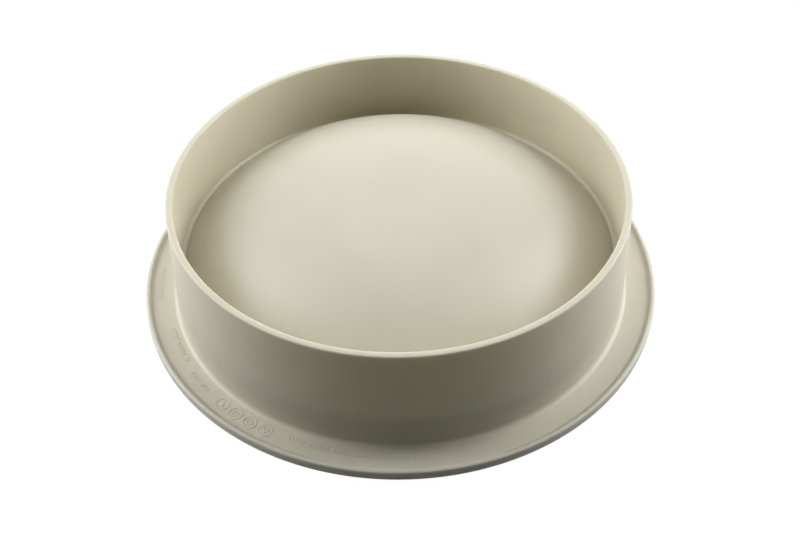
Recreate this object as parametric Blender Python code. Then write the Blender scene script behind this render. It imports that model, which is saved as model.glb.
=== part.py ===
"""Round silicone cake mould, upside down: the flange lies flat, the foot ring stands up.

The silicone is one moulding. Its cavity opens downwards through the flange, and the
cavity's domed roof is seen from outside as a dome inside the foot ring. A steel ring
lies in a tunnel under the bead at the flange's edge and keeps the flange round.
Units are metres, Z is up, and the origin is the centre of the flange's flat face.
"""

import math

import bmesh
import bpy
from mathutils import Matrix, Vector

MM = 0.001

# Overall form
HEIGHT = 50.2 * MM  # from the flange's face to the edge of the foot ring
SEGMENTS = 72  # facets round the axis

# Foot ring and wall
FOOT_RADIUS = 93.0 * MM  # outside of the foot ring at its edge
FOOT_WALL = 2.8 * MM  # thickness at the edge
FOOT_EDGE_ROUND = 0.6 * MM
OUTER_DRAFT = math.radians(2.4)  # the outside widens towards the flange
INNER_DRAFT = math.radians(2.0)  # the inside widens towards the ledge
WALL_TO_FLANGE_FILLET = 1.8 * MM

# Flange and the bead at its edge
FLANGE_RADIUS = 108.2 * MM
FLANGE_THICKNESS = 3.0 * MM
BEAD_HEIGHT = 4.3 * MM  # from the flange's face to the top of the bead
BEAD_WIDTH = 2.2 * MM
BEAD_ROUND = 0.8 * MM
BEAD_FILLET = 1.1 * MM  # hollow corner between the bead and the flange
PARTING_HEIGHT = 2.3 * MM  # where the two halves of the tool meet on the edge
PARTING_DRAFT = 0.15 * MM  # how far the edge falls back above and below that line
FLANGE_EDGE_ROUND = 0.6 * MM

# Cavity, which gives the cake its shape
MOUTH_RADIUS = 92.1 * MM
MOUTH_ROUND = 0.8 * MM
SHOULDER_RADIUS = 91.2 * MM  # where the straight side meets the domed roof
SIDE_HEIGHT = 10.0 * MM
SHOULDER_ROUND = 2.0 * MM
DOME_RISE = 28.5 * MM  # height of the domed roof over the straight side
DOME_POWER = 4.0  # 2 is a plain bowl, more is flatter in the middle
DOME_WALL = 3.0 * MM
DOME_STEPS = 9

# Ledge between the inside of the foot ring and the dome
LEDGE_WIDTH = 1.9 * MM
LEDGE_DEPTH = 0.35 * MM  # from the ledge down to the crease
LEDGE_ROUND = 0.15 * MM
LEDGE_FILLET = 1.4 * MM  # hollow corner between the ledge and the foot ring

# Steel ring in the flange's edge, and the holes that the tool's pins leave
WIRE_DIAMETER = 1.5 * MM
WIRE_CLEARANCE = 0.3 * MM
WIRE_INSET = 1.8 * MM  # from the flange's edge to the wire's centre
WIRE_HEIGHT = 1.9 * MM  # from the flange's face to the wire's centre
WIRE_SIDES = 8
PIN_HOLE_DIAMETER = 1.4 * MM
PIN_HOLES = 8
PIN_HOLE_SIDES = 12
PIN_HOLE_START = math.radians(22.5)
CUT_MARGIN = 1.0 * MM  # how far a cutter runs past the face it cuts

CORNER_STEPS = 3
FULL_TURN = 2 * math.pi
SMOOTH_ANGLE = math.radians(35)

SILICONE_COLOUR = (0.68, 0.62, 0.45, 1.0)
STEEL_COLOUR = (0.56, 0.56, 0.58, 1.0)


def clear_scene():
    for obj in list(bpy.data.objects):
        bpy.data.objects.remove(obj)


def material(name, colour, roughness, metallic):
    made = bpy.data.materials.new(name)
    made.use_nodes = True
    shader = made.node_tree.nodes["Principled BSDF"]
    shader.inputs["Base Color"].default_value = colour
    shader.inputs["Roughness"].default_value = roughness
    shader.inputs["Metallic"].default_value = metallic
    return made


def rounded_corner(before, corner, after, radius, steps=CORNER_STEPS):
    """Points of the arc of this radius that touches both legs of a corner."""
    leg_in = (before - corner).normalized()
    leg_out = (after - corner).normalized()
    half_angle = leg_in.angle(leg_out) / 2
    reach = radius / math.tan(half_angle)
    centre = corner + (leg_in + leg_out).normalized() * (radius / math.sin(half_angle))
    start = corner + leg_in * reach - centre
    turn = math.copysign(math.pi - 2 * half_angle, leg_out.cross(leg_in))
    return [
        centre + Matrix.Rotation(turn * step / steps, 2) @ start
        for step in range(steps + 1)
    ]


def outline(corners):
    """The points of a profile from its corners, each given as (radius, height, rounding)."""
    points = []
    places = [Vector((r, z)) for r, z, _ in corners]
    for index, (_, _, rounding) in enumerate(corners):
        if rounding and 0 < index < len(corners) - 1:
            points += rounded_corner(
                places[index - 1], places[index], places[index + 1], rounding
            )
        else:
            points.append(places[index])
    return points


def roof_point(radius):
    """(radius, height) on the cavity's domed roof."""
    share = radius / SHOULDER_RADIUS
    return Vector((radius, SIDE_HEIGHT + DOME_RISE * (1 - share**DOME_POWER)))


def roof_normal(radius):
    """Unit vector out of the roof, upwards and away from the axis."""
    share = radius / SHOULDER_RADIUS
    slope = DOME_RISE * DOME_POWER / SHOULDER_RADIUS * share ** (DOME_POWER - 1)
    return Vector((slope, 1)).normalized()


def dome_point(radius):
    """The point of the dome's outer skin that lies one wall outside the roof."""
    return roof_point(radius) + roof_normal(radius) * DOME_WALL


def roof_radius_under(outer_radius):
    """The radius on the roof whose outer skin lies at outer_radius, found by halving."""
    low = 0.0
    high = outer_radius
    for _ in range(40):
        middle = (low + high) / 2
        if dome_point(middle).x < outer_radius:
            low = middle
        else:
            high = middle
    return high


def dome_radii(last):
    """Radii from the axis to last, closer together where the dome bends more."""
    return [
        last * math.sin(math.pi / 2 * step / DOME_STEPS)
        for step in range(DOME_STEPS + 1)
    ]


def foot_inner_radius(height):
    """Inside radius of the foot ring, which widens downwards."""
    return FOOT_RADIUS - FOOT_WALL + (HEIGHT - height) * math.tan(INNER_DRAFT)


def wall_outer_radius(height):
    """Outside radius of the wall, which widens downwards."""
    return FOOT_RADIUS + (HEIGHT - height) * math.tan(OUTER_DRAFT)


def body_outline():
    """The moulding's half section, from the roof's centre round to the dome's centre."""
    crease_radius = foot_inner_radius(SIDE_HEIGHT + DOME_WALL) - LEDGE_WIDTH
    roof = [roof_point(radius) for radius in dome_radii(SHOULDER_RADIUS)]
    dome = [
        dome_point(radius)
        for radius in dome_radii(roof_radius_under(crease_radius))
    ]
    ledge = dome[-1].y + LEDGE_DEPTH
    bead_inside = FLANGE_RADIUS - BEAD_WIDTH
    edge = FLANGE_RADIUS - PARTING_DRAFT
    corners = [
        (roof[-2].x, roof[-2].y, 0),
        (SHOULDER_RADIUS, SIDE_HEIGHT, SHOULDER_ROUND),
        (MOUTH_RADIUS, 0, MOUTH_ROUND),
        (edge, 0, FLANGE_EDGE_ROUND),
        (FLANGE_RADIUS, PARTING_HEIGHT, 0),
        (edge, BEAD_HEIGHT, BEAD_ROUND),
        (bead_inside, BEAD_HEIGHT, BEAD_ROUND / 2),
        (bead_inside - BEAD_FILLET / 2, FLANGE_THICKNESS, BEAD_FILLET),
        (
            wall_outer_radius(FLANGE_THICKNESS),
            FLANGE_THICKNESS,
            WALL_TO_FLANGE_FILLET,
        ),
        (FOOT_RADIUS, HEIGHT, FOOT_EDGE_ROUND),
        (FOOT_RADIUS - FOOT_WALL, HEIGHT, FOOT_EDGE_ROUND),
        (foot_inner_radius(ledge), ledge, LEDGE_FILLET),
        (crease_radius, ledge, LEDGE_ROUND),
        (crease_radius, dome[-1].y, 0),
    ]
    return roof[:-2] + outline(corners) + dome[-2::-1]


def turned(points, closed):
    """A mesh turned round the Z axis from points given as (radius, height)."""
    shape = bmesh.new()
    verts = [shape.verts.new((p.x, 0, p.y)) for p in points]
    edges = [shape.edges.new(pair) for pair in zip(verts, verts[1:])]
    if closed:
        edges.append(shape.edges.new((verts[-1], verts[0])))
    bmesh.ops.spin(
        shape,
        geom=verts + edges,
        cent=(0, 0, 0),
        axis=(0, 0, 1),
        angle=FULL_TURN,
        steps=SEGMENTS,
        use_merge=True,
    )
    bmesh.ops.remove_doubles(shape, verts=shape.verts, dist=MM / 1000)
    bmesh.ops.recalc_face_normals(shape, faces=shape.faces)
    return shape


def to_object(shape, name, skin):
    mesh = bpy.data.meshes.new(name)
    shape.to_mesh(mesh)
    shape.free()
    mesh.shade_smooth()
    mesh.set_sharp_from_angle(angle=SMOOTH_ANGLE)
    obj = bpy.data.objects.new(name, mesh)
    bpy.context.scene.collection.objects.link(obj)
    if skin:
        mesh.materials.append(skin)
    return obj


def wire_loop(radius):
    """A round section of this radius about the wire's centre."""
    centre = Vector((FLANGE_RADIUS - WIRE_INSET, WIRE_HEIGHT))
    return [
        centre + Vector((math.cos(angle), math.sin(angle))) * radius
        for angle in (FULL_TURN * side / WIRE_SIDES for side in range(WIRE_SIDES))
    ]


def pin_holes():
    """One cutter: a short upright cylinder for each pin, from under the flange to the wire."""
    shape = bmesh.new()
    depth = WIRE_HEIGHT + CUT_MARGIN
    for index in range(PIN_HOLES):
        angle = PIN_HOLE_START + FULL_TURN * index / PIN_HOLES
        place = Matrix.Rotation(angle, 4, "Z") @ Matrix.Translation(
            (FLANGE_RADIUS - WIRE_INSET, 0, WIRE_HEIGHT - depth / 2)
        )
        bmesh.ops.create_cone(
            shape,
            cap_ends=True,
            segments=PIN_HOLE_SIDES,
            radius1=PIN_HOLE_DIAMETER / 2,
            radius2=PIN_HOLE_DIAMETER / 2,
            depth=depth,
            matrix=place,
        )
    return shape


def cut(target, cutter):
    """Takes the cutter's shape out of the target, and hides the cutter."""
    cutter.hide_render = True
    cutter.display_type = "WIRE"
    modifier = target.modifiers.new("cut_" + cutter.name, "BOOLEAN")
    modifier.operation = "DIFFERENCE"
    modifier.solver = "EXACT"
    modifier.object = cutter


def build():
    clear_scene()
    silicone = material("silicone", SILICONE_COLOUR, 0.5, 0.0)
    steel = material("steel", STEEL_COLOUR, 0.3, 1.0)

    body = to_object(turned(body_outline(), closed=False), "mould_body", silicone)
    wire_radius = WIRE_DIAMETER / 2
    tunnel = turned(wire_loop(wire_radius + WIRE_CLEARANCE), closed=True)
    cut(body, to_object(tunnel, "wire_tunnel_cutter", None))
    cut(body, to_object(pin_holes(), "pin_hole_cutter", None))

    ring = to_object(turned(wire_loop(wire_radius), closed=True), "rim_ring", steel)
    ring.parent = body


build()
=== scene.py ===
# %% [markdown]
# # A silicone cake mould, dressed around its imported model
#
# The mould lies upside down: its flange is flat on the table and its foot ring stands up.
# It is one moulding, so nearly everything that shows is one skin of silicone. The lesson
# is how to turn that skin from an outline, how to raise fine marks on it, and how light
# alone brings out a plain form. Lengths are in metres and the axis is Z.

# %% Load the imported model
import math
import random

import bmesh
import bpy
from mathutils import Matrix, Vector


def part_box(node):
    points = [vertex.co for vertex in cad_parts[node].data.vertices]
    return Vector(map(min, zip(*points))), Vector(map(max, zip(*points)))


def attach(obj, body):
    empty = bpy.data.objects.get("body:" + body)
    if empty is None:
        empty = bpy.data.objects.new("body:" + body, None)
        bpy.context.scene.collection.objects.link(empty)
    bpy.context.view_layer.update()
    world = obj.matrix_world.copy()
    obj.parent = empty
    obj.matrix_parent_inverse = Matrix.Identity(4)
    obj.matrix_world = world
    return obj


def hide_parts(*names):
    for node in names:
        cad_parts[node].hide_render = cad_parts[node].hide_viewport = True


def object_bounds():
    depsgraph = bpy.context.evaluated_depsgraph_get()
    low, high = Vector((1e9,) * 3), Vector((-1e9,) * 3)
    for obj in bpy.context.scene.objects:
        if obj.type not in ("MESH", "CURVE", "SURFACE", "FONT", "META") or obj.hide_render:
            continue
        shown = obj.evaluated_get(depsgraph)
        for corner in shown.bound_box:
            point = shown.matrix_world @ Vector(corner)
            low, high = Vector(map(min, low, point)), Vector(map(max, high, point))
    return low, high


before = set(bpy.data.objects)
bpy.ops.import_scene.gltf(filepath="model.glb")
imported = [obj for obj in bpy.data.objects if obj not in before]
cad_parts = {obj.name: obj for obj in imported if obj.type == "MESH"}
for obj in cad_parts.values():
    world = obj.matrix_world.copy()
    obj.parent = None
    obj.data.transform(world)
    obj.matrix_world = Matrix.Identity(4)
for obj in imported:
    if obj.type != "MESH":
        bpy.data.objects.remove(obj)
cad_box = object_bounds()
MM = 0.001
FULL_TURN = 2 * math.pi
print("box of the solids:", [[round(c, 4) for c in corner] for corner in cad_box])

# %% [markdown]
# ## Camera
#
# The photograph looks down on the mould from the front, from close by, so the front of
# the ring is clearly larger than the back. A perspective camera shows that only from the
# right distance, and no change of focal length makes up for a wrong one. So the distance
# comes first, then the height, and the lens sets the size in the picture. The camera aims
# a little below the ring and is rolled a little, as a hand-held one is.

# %% Set the camera
HEIGHT = cad_box[1][2]
CAMERA_DISTANCE = 449 * MM  # from the middle of the foot ring's edge
CAMERA_ELEVATION = math.radians(39.77)
AIM_BELOW_RING = math.radians(4.28)
CAMERA_ROLL = math.radians(-0.95)
LENS = 50.15  # millimetres
SENSOR_WIDTH = 36  # millimetres
NEAREST_SEEN = 10 * MM

camera_data = bpy.data.cameras.new("camera")
camera_data.lens = LENS
camera_data.sensor_width = SENSOR_WIDTH
camera_data.clip_start = NEAREST_SEEN
camera = bpy.data.objects.new("camera", camera_data)
bpy.context.scene.collection.objects.link(camera)
camera_place = Vector(
    (
        0,
        -math.cos(CAMERA_ELEVATION) * CAMERA_DISTANCE,
        HEIGHT + math.sin(CAMERA_ELEVATION) * CAMERA_DISTANCE,
    )
)
tilt = math.pi / 2 - CAMERA_ELEVATION - AIM_BELOW_RING
camera.matrix_world = (
    Matrix.Translation(camera_place)
    @ Matrix.Rotation(tilt, 4, "X")
    @ Matrix.Rotation(CAMERA_ROLL, 4, "Z")
)
bpy.context.scene.camera = camera
print("camera at", [round(c, 3) for c in camera_place])

# %% [markdown]
# ## Helpers for turned shapes
#
# A lathe shape is an outline turned round an axis. The outline holds only the corners,
# and the round edges come afterwards, from a bevel on the rings that the corners became,
# as on a real tool, where a cutter breaks each edge. A bevel takes the distance from the
# corner to where the arc starts, so a helper works that out from the arc's radius.


# %% Turn an outline and round its corners
def new_object(name, shape):
    mesh = bpy.data.meshes.new(name)
    shape.to_mesh(mesh)
    shape.free()
    made = bpy.data.objects.new(name, mesh)
    bpy.context.scene.collection.objects.link(made)
    return made


def turn(points, steps, closed=False):
    """A bmesh of the outline (radius, height) turned round Z."""
    shape = bmesh.new()
    verts = [shape.verts.new((radius, 0, height)) for radius, height in points]
    edges = [shape.edges.new(pair) for pair in zip(verts, verts[1:])]
    if closed:
        edges.append(shape.edges.new((verts[-1], verts[0])))
    bmesh.ops.spin(
        shape,
        geom=verts + edges,
        cent=(0, 0, 0),
        axis=(0, 0, 1),
        angle=FULL_TURN,
        steps=steps,
        use_merge=True,
    )
    bmesh.ops.remove_doubles(shape, verts=shape.verts, dist=MM / 1000)
    bmesh.ops.recalc_face_normals(shape, faces=shape.faces)
    return shape


def ring_edges(shape, radius, height):
    """The edges of the circle that the outline's corner at (radius, height) became."""
    near = MM / 100

    def on_ring(vert):
        return (
            abs(math.hypot(vert.co.x, vert.co.y) - radius) < near
            and abs(vert.co.z - height) < near
        )

    return [e for e in shape.edges if all(on_ring(v) for v in e.verts)]


def round_ring(shape, before, corner, after, radius, segments):
    """Rounds the ring at corner with an arc of this radius."""
    leg_in = Vector(before) - Vector(corner)
    leg_out = Vector(after) - Vector(corner)
    reach = radius / math.tan(leg_in.angle(leg_out) / 2)
    bmesh.ops.bevel(
        shape,
        geom=ring_edges(shape, *corner),
        offset=reach,
        offset_type="OFFSET",
        affect="EDGES",
        segments=segments,
        profile=0.5,
        material=-1,
        clamp_overlap=True,
    )


print("helpers ready")

# %% [markdown]
# ## The outline of the moulding
#
# The half section runs from the middle of the cavity's roof, down the inside, round the
# flange and its bead, up the wall to the foot ring and down to the ledge, and back over
# the dome. Two stretches are curved: the roof of the cavity, a bowl that is flatter than
# a sphere in the middle, and the dome's outer skin, which lies one wall outside it. Both
# come from one formula, so the wall between them is equally thick all over. The height
# and the flange's radius are read from the solids, so the skin fits the model that it
# stands for.

# %% Give the sizes and the outline
FLANGE_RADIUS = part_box("mould_body")[1][0]
FOOT_RADIUS = 93.0 * MM
FOOT_WALL = 2.8 * MM
FOOT_EDGE_ROUND = 0.6 * MM
OUTER_DRAFT = math.radians(2.4)
INNER_DRAFT = math.radians(2.0)
WALL_FILLET = 2.0 * MM
FLANGE_THICKNESS = 3.0 * MM
BEAD_HEIGHT = 4.3 * MM
BEAD_WIDTH = 1.6 * MM  # at its top
BEAD_SLOPE = 1.1 * MM  # how far the top's inner edge lies outside its foot
BEAD_ROUND = 0.8 * MM
BEAD_FILLET = 1.5 * MM
PARTING_HEIGHT = 2.3 * MM
PARTING_DRAFT = 0.15 * MM
FLANGE_EDGE_ROUND = 0.6 * MM
MOUTH_RADIUS = 92.1 * MM
MOUTH_ROUND = 0.8 * MM
SHOULDER_RADIUS = 91.2 * MM
SHOULDER_ROUND = 2.0 * MM
SIDE_HEIGHT = 10.0 * MM
DOME_RISE = 28.5 * MM
DOME_POWER = 4.0
DOME_WALL = 3.0 * MM
LEDGE_WIDTH = 1.9 * MM
LEDGE_DEPTH = 0.35 * MM
LEDGE_ROUND = 0.15 * MM
LEDGE_FILLET = 1.4 * MM
DOME_STEPS = 36
TURN_STEPS = 288
ARC_STEPS = 6
HALVINGS = 40  # enough to find a radius to far under a micrometre


def roof_point(radius):
    share = radius / SHOULDER_RADIUS
    return Vector((radius, SIDE_HEIGHT + DOME_RISE * (1 - share**DOME_POWER)))


def dome_point(radius):
    """The point of the dome's outer skin, one wall outside the roof at this radius."""
    share = radius / SHOULDER_RADIUS
    slope = DOME_RISE * DOME_POWER / SHOULDER_RADIUS * share ** (DOME_POWER - 1)
    return roof_point(radius) + Vector((slope, 1)).normalized() * DOME_WALL


def roof_radius_under(outer_radius):
    """The radius on the roof whose outer skin lies at outer_radius, found by halving."""
    low = 0.0
    high = outer_radius
    for _ in range(HALVINGS):
        middle = (low + high) / 2
        if dome_point(middle).x < outer_radius:
            low = middle
        else:
            high = middle
    return high


def dome_radii(last):
    """Radii from the axis to last, closer together towards the edge."""
    return [
        last * math.sin(math.pi / 2 * step / DOME_STEPS)
        for step in range(DOME_STEPS + 1)
    ]


def wall_outside(height):
    return FOOT_RADIUS + (HEIGHT - height) * math.tan(OUTER_DRAFT)


def wall_inside(height):
    return FOOT_RADIUS - FOOT_WALL + (HEIGHT - height) * math.tan(INNER_DRAFT)


crease_radius = wall_inside(SIDE_HEIGHT + DOME_WALL) - LEDGE_WIDTH
roof = [roof_point(radius) for radius in dome_radii(SHOULDER_RADIUS)[:-2]]
dome = [dome_point(radius) for radius in dome_radii(roof_radius_under(crease_radius))]
ledge = dome[-1].y + LEDGE_DEPTH
bead_inside = FLANGE_RADIUS - BEAD_WIDTH
edge_radius = FLANGE_RADIUS - PARTING_DRAFT
corners = [
    (SHOULDER_RADIUS, SIDE_HEIGHT, SHOULDER_ROUND),
    (MOUTH_RADIUS, 0, MOUTH_ROUND),
    (edge_radius, 0, FLANGE_EDGE_ROUND),
    (FLANGE_RADIUS, PARTING_HEIGHT, 0),
    (edge_radius, BEAD_HEIGHT, BEAD_ROUND),
    (bead_inside, BEAD_HEIGHT, BEAD_ROUND / 2),
    (bead_inside - BEAD_SLOPE, FLANGE_THICKNESS, BEAD_FILLET),
    (wall_outside(FLANGE_THICKNESS), FLANGE_THICKNESS, WALL_FILLET),
    (FOOT_RADIUS, HEIGHT, FOOT_EDGE_ROUND),
    (FOOT_RADIUS - FOOT_WALL, HEIGHT, FOOT_EDGE_ROUND),
    (wall_inside(ledge), ledge, LEDGE_FILLET),
    (crease_radius, ledge, LEDGE_ROUND),
]
print("crease", round(crease_radius / MM, 2), "mm out, ledge", round(ledge / MM, 2), "mm up")

# %% [markdown]
# ## Turn the skin
#
# The outline is turned in 288 steps, fine enough for the rim to look round close up.
# Then each sharp ring gets its own round edge or its own hollow corner.

# %% Turn the skin and round its rings
outline = [tuple(p) for p in roof] + [c[:2] for c in corners] + [tuple(p) for p in dome[::-1]]
skin = turn(outline, TURN_STEPS)
for radius, height, rounding in corners:
    if rounding:
        place = outline.index((radius, height))
        round_ring(
            skin,
            outline[place - 1],
            outline[place],
            outline[place + 1],
            rounding,
            ARC_STEPS,
        )
mould = new_object("mould_skin", skin)
print("skin:", len(mould.data.polygons), "faces")

# %% [markdown]
# ## The tunnel of the steel ring
#
# A steel ring lies inside the flange's edge and keeps it round. The silicone is poured
# round it, so it leaves a tunnel, and the pins that hold the ring up in the tool leave
# small holes in the flange's face. A Boolean takes both out of the skin. Its result is
# read back as the new mesh and the cutter is deleted, so no modifier stays behind.

# %% Cut the tunnel and the pin holes
WIRE_DIAMETER = 1.5 * MM
WIRE_CLEARANCE = 0.3 * MM
WIRE_INSET = 1.8 * MM  # from the flange's edge to the wire's middle
WIRE_RADIUS = FLANGE_RADIUS - WIRE_INSET  # of the circle along the wire's middle
WIRE_HEIGHT = 1.9 * MM
WIRE_SIDES = 16
PIN_HOLE_DIAMETER = 1.4 * MM
PIN_HOLES = 8
PIN_HOLE_SIDES = 24
PIN_HOLE_START = math.radians(22.5)


def wire_section(radius):
    """A round section of this radius about the wire's middle, as (radius, height)."""
    turns = [FULL_TURN * side / WIRE_SIDES for side in range(WIRE_SIDES)]
    return [
        (WIRE_RADIUS + radius * math.cos(turn), WIRE_HEIGHT + radius * math.sin(turn))
        for turn in turns
    ]


def combine(target, tool, operation):
    """Cuts target with tool, or joins the two, and deletes the tool."""
    modifier = target.modifiers.new(tool.name, "BOOLEAN")
    modifier.operation = operation
    modifier.solver = "EXACT"
    modifier.object = tool
    graph = bpy.context.evaluated_depsgraph_get()
    result = bpy.data.meshes.new_from_object(target.evaluated_get(graph))
    target.modifiers.clear()
    target.data = result
    bpy.data.objects.remove(tool)


tunnel = turn(wire_section(WIRE_DIAMETER / 2 + WIRE_CLEARANCE), TURN_STEPS, closed=True)
combine(mould, new_object("tunnel_cutter", tunnel), "DIFFERENCE")
pins = bmesh.new()
for index in range(PIN_HOLES):
    place = Matrix.Rotation(PIN_HOLE_START + FULL_TURN * index / PIN_HOLES, 4, "Z")
    bmesh.ops.create_cone(
        pins,
        cap_ends=True,
        segments=PIN_HOLE_SIDES,
        radius1=PIN_HOLE_DIAMETER / 2,
        radius2=PIN_HOLE_DIAMETER / 2,
        depth=2 * WIRE_HEIGHT,
        matrix=place @ Matrix.Translation((WIRE_RADIUS, 0, 0)),
    )
combine(mould, new_object("pin_cutter", pins), "DIFFERENCE")
print("skin with tunnel and", PIN_HOLES, "pin holes:", len(mould.data.polygons), "faces")

# %% [markdown]
# ## Raised marks on the flange
#
# Such a mould has small raised marks on its flange, which come from letters and signs
# cut into the tool. Here they are plain and say nothing: four rings with a simple figure
# in each, and rows of short bars, in the size that such marks have. Each one is a small
# solid with a bevelled top. It stands in the flange, so that a Boolean can join it on.

# %% Raise the marks
MARK_HEIGHT = 0.15 * MM  # above the flange
MARK_ROOT = 0.3 * MM  # how deep a mark stands in the flange before the two are joined
MARK_BEVEL = 0.09 * MM
LINE_WIDTH = 0.42 * MM
RING_RADIUS = 2.9 * MM
RING_CIRCLE = 101.0 * MM  # distance of the rings from the mould's axis
RING_DEGREES = (-133.1, -129.0, -124.9, -120.8)
BAR_LENGTH = 1.9 * MM
BAR_ROWS = (
    # distance from the axis, and the two ends in degrees
    (99.2 * MM, -160, -149),
    (100.8 * MM, -145, -137.5),
    (99.9 * MM, -115, -86),
    (102.0 * MM, -181, -170),
)
BAR_WIDTHS = (0.35, 0.8)  # smallest and largest, in millimetres
BAR_GAPS = (0.45, 0.8)
GROUP_GAP = 1.1  # what a gap between two groups of bars has more
GROUP_SIZES = (3, 8)
BAR_DRAWS = 11
DOT_RADIUS = 0.9 * MM
PAIR_LENGTH = 2.4 * MM
PAIR_ASIDE = (-0.7, 0.7)  # of the two bars in the second ring, in millimetres
INNER_RING_RADIUS = 1.3 * MM
SMALL_DOT_RADIUS = 0.45 * MM
SMALL_DOT_PLACES = ((-0.7, -0.8), (-0.7, 0.8), (0.8, 0))  # in millimetres
RING_STEPS_ROUND = 36
DOT_STEPS_ROUND = 20


def on_flange(radius, degrees):
    """Takes a shape at the origin to its place, with its x axis pointing outwards."""
    turned_there = Matrix.Rotation(math.radians(degrees), 4, "Z")
    return turned_there @ Matrix.Translation((radius, 0, FLANGE_THICKNESS))


def bevel_top(shape):
    """Breaks the edges round the top of a mark."""
    top = max(v.co.z for v in shape.verts)
    sharp = math.pi / 4
    rim = [
        e
        for e in shape.edges
        if all(abs(v.co.z - top) < MM / 100 for v in e.verts)
        and e.calc_face_angle(0) > sharp
    ]
    bmesh.ops.bevel(
        shape,
        geom=rim,
        offset=MARK_BEVEL,
        affect="EDGES",
        segments=2,
        profile=0.5,
        material=-1,
    )


def bar(width, length):
    """A bar at the origin, length outwards and width along the flange."""
    shape = bmesh.new()
    bmesh.ops.create_cube(shape, size=1)
    bmesh.ops.scale(shape, vec=(length, width, MARK_HEIGHT + MARK_ROOT), verts=shape.verts)
    lift = (MARK_HEIGHT - MARK_ROOT) / 2
    bmesh.ops.translate(shape, vec=(0, 0, lift), verts=shape.verts)
    bevel_top(shape)
    return shape


def ring(radius):
    """A ring of one line at the origin."""
    inside = radius - LINE_WIDTH
    section = (
        (radius, -MARK_ROOT),
        (radius, MARK_HEIGHT),
        (inside, MARK_HEIGHT),
        (inside, -MARK_ROOT),
    )
    shape = turn(section, RING_STEPS_ROUND, closed=True)
    bevel_top(shape)
    return shape


def dot(radius):
    """A round dot at the origin."""
    section = (
        (0, MARK_HEIGHT),
        (radius, MARK_HEIGHT),
        (radius, -MARK_ROOT),
        (0, -MARK_ROOT),
    )
    shape = turn(section, DOT_STEPS_ROUND)
    bevel_top(shape)
    return shape


marks = bmesh.new()


def add_mark(shape, place):
    """Adds a finished mark to the others, at its place."""
    bmesh.ops.transform(shape, matrix=place, verts=shape.verts)
    scratch = bpy.data.meshes.new("mark")
    shape.to_mesh(scratch)
    shape.free()
    marks.from_mesh(scratch)
    bpy.data.meshes.remove(scratch)


def aside(x, y):
    """A shift of x outwards and y along the flange, in millimetres."""
    return Matrix.Translation((x * MM, y * MM, 0))


ring_places = [on_flange(RING_CIRCLE, degrees) for degrees in RING_DEGREES]
for place in ring_places:
    add_mark(ring(RING_RADIUS), place)
add_mark(dot(DOT_RADIUS), ring_places[0])
for side in PAIR_ASIDE:
    add_mark(bar(LINE_WIDTH, PAIR_LENGTH), ring_places[1] @ aside(0, side))
add_mark(ring(INNER_RING_RADIUS), ring_places[2])
for x, y in SMALL_DOT_PLACES:
    add_mark(dot(SMALL_DOT_RADIUS), ring_places[3] @ aside(x, y))

draws = random.Random(BAR_DRAWS)
bars = 0
for radius, start, end in BAR_ROWS:
    degrees = start
    left_in_group = draws.randint(*GROUP_SIZES)
    while degrees < end:
        width = draws.uniform(*BAR_WIDTHS) * MM
        add_mark(bar(width, BAR_LENGTH), on_flange(radius, degrees))
        bars += 1
        gap = draws.uniform(*BAR_GAPS) * MM
        left_in_group -= 1
        if left_in_group == 0:
            gap += GROUP_GAP * MM
            left_in_group = draws.randint(*GROUP_SIZES)
        degrees += math.degrees((width + gap) / radius)
combine(mould, new_object("marks", marks), "UNION")
print("marks:", len(RING_DEGREES), "rings and", bars, "bars;", len(mould.data.polygons), "faces")

# %% [markdown]
# ## Silicone
#
# The mould is a sand-coloured silicone with a satin finish that it took from the tool. It
# isn't paint: about a third of the light goes in, travels a few millimetres and comes out
# again, which softens the edges and lets a thin wall glow a little where light falls on
# its other side. Subsurface scattering does that, and blue travels less far than red.
# The pigment is stirred in, so the colour drifts by a per cent or two in soft clouds,
# and the tool's blasted finish gives a fine grain to the highlights.

# %% Mix the silicone
SILICONE = (0.63, 0.6, 0.485, 1.0)
SILICONE_ROUGHNESS = 0.42
SILICONE_IOR = 1.41
SILICONE_SHINE = 0.7  # specular level, where 0.5 is what the index of refraction gives
SCATTER_SHARE = 0.35  # how much of the light goes in
SCATTER_REACH = 7.0 * MM
SCATTER_COLOURS = (1.0, 0.95, 0.7)  # how far red, green and blue go, as shares of the reach
CLOUDS_PER_METRE = 45
COLOUR_DRIFT = 0.015  # how far the clouds take the colour up and down, as a share
COLOUR_ENDS = (0.35, 0.65)  # noise values at which the colour is darkest and palest
GLOSS_DRIFT = 0.03
GLOSS_ENDS = (0.3, 0.7)  # noise values at which the finish is smoothest and roughest
GRAINS_PER_METRE = 5200
GRAIN_DEPTH = 0.012 * MM
GRAIN_STRENGTH = 0.4


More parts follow.
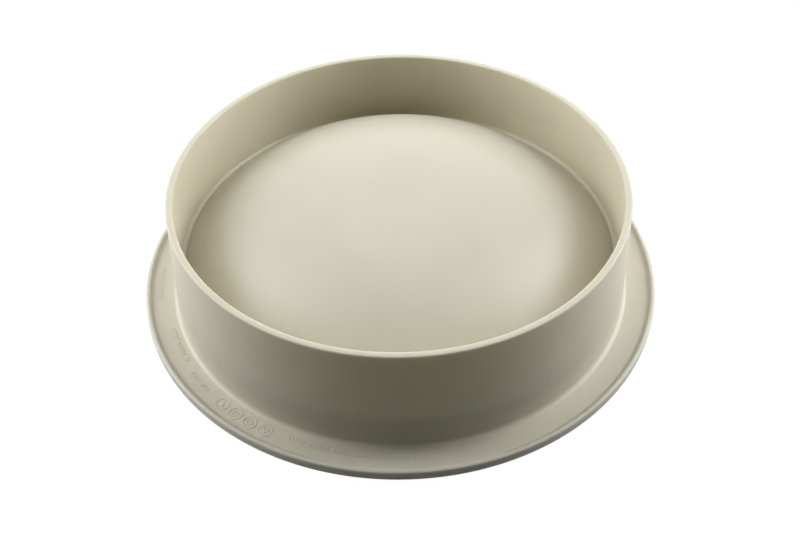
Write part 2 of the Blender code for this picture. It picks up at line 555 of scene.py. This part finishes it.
def silicone_material():
    made = bpy.data.materials.new("satin_silicone")
    made.use_nodes = True
    tree = made.node_tree
    shader = tree.nodes["Principled BSDF"]
    shader.inputs["Subsurface Weight"].default_value = SCATTER_SHARE
    shader.inputs["Subsurface Radius"].default_value = SCATTER_COLOURS
    shader.inputs["Subsurface Scale"].default_value = SCATTER_REACH
    shader.inputs["IOR"].default_value = SILICONE_IOR
    shader.inputs["Specular IOR Level"].default_value = SILICONE_SHINE
    place = tree.nodes.new("ShaderNodeTexCoord")

    clouds = tree.nodes.new("ShaderNodeTexNoise")
    clouds.inputs["Scale"].default_value = CLOUDS_PER_METRE
    clouds.inputs["Detail"].default_value = 3
    tree.links.new(place.outputs["Object"], clouds.inputs["Vector"])
    tint = tree.nodes.new("ShaderNodeValToRGB")
    shares = (1 - COLOUR_DRIFT, 1 + COLOUR_DRIFT)
    for element, position, share in zip(tint.color_ramp.elements, COLOUR_ENDS, shares):
        element.position = position
        element.color = [c * share for c in SILICONE[:3]] + [1]
    tree.links.new(clouds.outputs["Fac"], tint.inputs["Fac"])
    tree.links.new(tint.outputs["Color"], shader.inputs["Base Color"])

    gloss = tree.nodes.new("ShaderNodeMapRange")
    gloss.inputs["From Min"].default_value = GLOSS_ENDS[0]
    gloss.inputs["From Max"].default_value = GLOSS_ENDS[1]
    gloss.inputs["To Min"].default_value = SILICONE_ROUGHNESS - GLOSS_DRIFT
    gloss.inputs["To Max"].default_value = SILICONE_ROUGHNESS + GLOSS_DRIFT
    tree.links.new(clouds.outputs["Fac"], gloss.inputs["Value"])
    tree.links.new(gloss.outputs["Result"], shader.inputs["Roughness"])

    grain = tree.nodes.new("ShaderNodeTexNoise")
    grain.inputs["Scale"].default_value = GRAINS_PER_METRE
    grain.inputs["Detail"].default_value = 2
    tree.links.new(place.outputs["Object"], grain.inputs["Vector"])
    bump = tree.nodes.new("ShaderNodeBump")
    bump.inputs["Strength"].default_value = GRAIN_STRENGTH
    bump.inputs["Distance"].default_value = GRAIN_DEPTH
    tree.links.new(grain.outputs["Fac"], bump.inputs["Height"])
    tree.links.new(bump.outputs["Normal"], shader.inputs["Normal"])
    return made


silicone = silicone_material()
mould.data.materials.append(silicone)
print("silicone colour:", SILICONE[:3])

# %% Finish the skin's shading and its place in the model
SMOOTH_ANGLE = math.radians(35)
mould.data.shade_smooth()
mould.data.set_sharp_from_angle(angle=SMOOTH_ANGLE)
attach(mould, "root")
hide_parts("mould_body")

# %% [markdown]
# ## The steel ring
#
# The ring is drawn stainless wire, bent round and butt welded. It hardly shows: only
# through the pin holes. Drawing pulls fine lines along the wire, so the noise that
# roughens it is stretched along the ring, on the angle round the axis and not on x and y.

# %% Bend the ring and weld it
WELD_LENGTH = 2.4 * MM
WELD_SWELL = 0.12 * MM  # stays inside the tunnel's clearance
RING_STEPS = 432
wire = turn(wire_section(WIRE_DIAMETER / 2), RING_STEPS, closed=True)
for vert in wire.verts:
    along = abs(math.atan2(vert.co.y, vert.co.x)) * WIRE_RADIUS
    if along < WELD_LENGTH / 2:
        flat = vert.co.xy.normalized()
        middle = Vector((*(flat * WIRE_RADIUS), WIRE_HEIGHT))
        swell = WELD_SWELL * math.cos(math.pi * along / WELD_LENGTH)
        vert.co += (vert.co - middle).normalized() * swell
wire_ring = new_object("wire_ring", wire)
wire_ring.data.shade_smooth()
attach(wire_ring, "root")
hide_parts("rim_ring")
print("ring:", len(wire_ring.data.polygons), "faces")


# %% Draw the steel
STEEL_COLOURS = ((0.50, 0.50, 0.52, 1), (0.62, 0.62, 0.64, 1))
STEEL_ROUGHNESS = (0.24, 0.38)
DRAWN_LINES = 9000  # per metre across the wire
DRAWN_STRETCH = 0.004  # how little the angle round the axis counts beside that
DRAWN_DEPTH = 0.01 * MM
DRAWN_STRENGTH = 0.3


def steel_material():
    made = bpy.data.materials.new("drawn_steel")
    made.use_nodes = True
    tree = made.node_tree
    shader = tree.nodes["Principled BSDF"]
    shader.inputs["Metallic"].default_value = 1.0
    place = tree.nodes.new("ShaderNodeTexCoord")
    parts = tree.nodes.new("ShaderNodeSeparateXYZ")
    tree.links.new(place.outputs["Object"], parts.inputs[0])
    angle = tree.nodes.new("ShaderNodeMath")
    angle.operation = "ARCTAN2"
    tree.links.new(parts.outputs["Y"], angle.inputs[0])
    tree.links.new(parts.outputs["X"], angle.inputs[1])
    reach = tree.nodes.new("ShaderNodeVectorMath")
    reach.operation = "LENGTH"
    tree.links.new(place.outputs["Object"], reach.inputs[0])
    along = tree.nodes.new("ShaderNodeCombineXYZ")
    slow = tree.nodes.new("ShaderNodeMath")
    slow.operation = "MULTIPLY"
    slow.inputs[1].default_value = DRAWN_STRETCH
    tree.links.new(angle.outputs[0], slow.inputs[0])
    tree.links.new(slow.outputs[0], along.inputs["X"])
    tree.links.new(reach.outputs["Value"], along.inputs["Y"])
    tree.links.new(parts.outputs["Z"], along.inputs["Z"])
    lines = tree.nodes.new("ShaderNodeTexNoise")
    lines.inputs["Scale"].default_value = DRAWN_LINES
    lines.inputs["Detail"].default_value = 3
    tree.links.new(along.outputs[0], lines.inputs["Vector"])
    tint = tree.nodes.new("ShaderNodeValToRGB")
    for element, colour in zip(tint.color_ramp.elements, STEEL_COLOURS):
        element.color = colour
    tree.links.new(lines.outputs["Fac"], tint.inputs["Fac"])
    tree.links.new(tint.outputs["Color"], shader.inputs["Base Color"])
    gloss = tree.nodes.new("ShaderNodeMapRange")
    gloss.inputs["To Min"].default_value = STEEL_ROUGHNESS[0]
    gloss.inputs["To Max"].default_value = STEEL_ROUGHNESS[1]
    tree.links.new(lines.outputs["Fac"], gloss.inputs["Value"])
    tree.links.new(gloss.outputs["Result"], shader.inputs["Roughness"])
    bump = tree.nodes.new("ShaderNodeBump")
    bump.inputs["Strength"].default_value = DRAWN_STRENGTH
    bump.inputs["Distance"].default_value = DRAWN_DEPTH
    tree.links.new(lines.outputs["Fac"], bump.inputs["Height"])
    tree.links.new(bump.outputs["Normal"], shader.inputs["Normal"])
    return made


wire_ring.data.materials.append(steel_material())
print("steel drawn")

# %% [markdown]
# ## Lights and background
#
# A column of three soft lights stands at each side, a little behind the mould, and a weak
# one behind it. None stands in front, so the front of the wall falls into shade. Each is
# placed by the angle round the axis and the angle above the floor, all at one distance.
# The surroundings are white only to the camera and in reflections: to the light that
# bounces about the world is black and the floor grey, or they would fill the shade.

# %% Light the mould
LIGHT_DISTANCE = 0.8
LIGHT_SIZE = 0.45
AIM = Vector((0, 0, 30 * MM))
LIGHTS = {
    # name: (degrees round from the right, degrees above the floor, watts)
    "right_low": (17, 15, 3.2),
    "right_middle": (20, 32, 2.4),
    "right_high": (20, 50, 1.9),
    "left_low": (166, 15, 3.2),
    "left_middle": (167, 32, 1.7),
    "left_high": (160, 50, 2.25),
    "back": (90, 20, 1.1),
}
for name, (azimuth, elevation, watts) in LIGHTS.items():
    data = bpy.data.lights.new(name, "AREA")
    data.shape = "SQUARE"
    data.size = LIGHT_SIZE
    data.energy = watts
    light = bpy.data.objects.new("light_" + name, data)
    bpy.context.scene.collection.objects.link(light)
    turned_round = Matrix.Rotation(math.radians(azimuth), 4, "Z")
    turned_up = Matrix.Rotation(math.radians(-elevation), 4, "Y")
    away = turned_round @ turned_up @ Vector((LIGHT_DISTANCE, 0, 0))
    facing = (-away).to_track_quat("-Z", "Y").to_matrix().to_4x4()
    light.matrix_world = Matrix.Translation(AIM + away) @ facing
print("lights:", ", ".join(LIGHTS))


# %% Set the floor and the world
def seen_directly(tree):
    """A value that is 1 for rays from the camera, mirrors and glass, and 0 for others."""
    path = tree.nodes.new("ShaderNodeLightPath")
    both = tree.nodes.new("ShaderNodeMath")
    both.operation = "MAXIMUM"
    tree.links.new(path.outputs["Is Camera Ray"], both.inputs[0])
    tree.links.new(path.outputs["Is Glossy Ray"], both.inputs[1])
    all_three = tree.nodes.new("ShaderNodeMath")
    all_three.operation = "MAXIMUM"
    tree.links.new(both.outputs[0], all_three.inputs[0])
    tree.links.new(path.outputs["Is Transmission Ray"], all_three.inputs[1])
    return all_three.outputs[0]


WORLD_FILL = 0.0  # grey that the surroundings lend to the light
world = bpy.data.worlds.new("studio")
bpy.context.scene.world = world
world.use_nodes = True
tree = world.node_tree
sky = tree.nodes["Background"]
sky.inputs["Color"].default_value = (WORLD_FILL, WORLD_FILL, WORLD_FILL, 1)
backdrop = tree.nodes.new("ShaderNodeBackground")
backdrop.inputs["Color"].default_value = (1, 1, 1, 1)
choose = tree.nodes.new("ShaderNodeMixShader")
tree.links.new(seen_directly(tree), choose.inputs[0])
tree.links.new(sky.outputs[0], choose.inputs[1])
tree.links.new(backdrop.outputs[0], choose.inputs[2])
tree.links.new(choose.outputs[0], tree.nodes["World Output"].inputs["Surface"])

FLOOR_GREY = 0.14  # what the floor gives back to the light that bounces
FLOOR_WHITE = 1.05
FLOOR_PAINT = 0.9  # colour of the floor where real light and shadow show on it
SHADOW_SHARE = 0.07  # how much of the floor's look is real light and shadow
FLOOR_HALF_WIDTH = 6
FLOOR_DROP = 0.05 * MM  # keeps the floor off the flange's face
floor_mesh = bmesh.new()
bmesh.ops.create_grid(floor_mesh, x_segments=1, y_segments=1, size=FLOOR_HALF_WIDTH)
floor = new_object("floor", floor_mesh)
floor.location.z = -FLOOR_DROP
paint = bpy.data.materials.new("floor")
paint.use_nodes = True
tree = paint.node_tree
tree.nodes.remove(tree.nodes["Principled BSDF"])
dull = tree.nodes.new("ShaderNodeBsdfDiffuse")
dull.inputs["Color"].default_value = (FLOOR_GREY, FLOOR_GREY, FLOOR_GREY, 1)
lit = tree.nodes.new("ShaderNodeBsdfDiffuse")
lit.inputs["Color"].default_value = (FLOOR_PAINT, FLOOR_PAINT, FLOOR_PAINT, 1)
white = tree.nodes.new("ShaderNodeEmission")
white.inputs["Strength"].default_value = FLOOR_WHITE
shown = tree.nodes.new("ShaderNodeMixShader")
shown.inputs[0].default_value = 1 - SHADOW_SHARE
tree.links.new(lit.outputs[0], shown.inputs[1])
tree.links.new(white.outputs[0], shown.inputs[2])
choose = tree.nodes.new("ShaderNodeMixShader")
tree.links.new(seen_directly(tree), choose.inputs[0])
tree.links.new(dull.outputs[0], choose.inputs[1])
tree.links.new(shown.outputs[0], choose.inputs[2])
tree.links.new(choose.outputs[0], tree.nodes["Material Output"].inputs["Surface"])
floor.data.materials.append(paint)
bpy.context.scene.view_settings.view_transform = "Standard"
print("floor and world set")
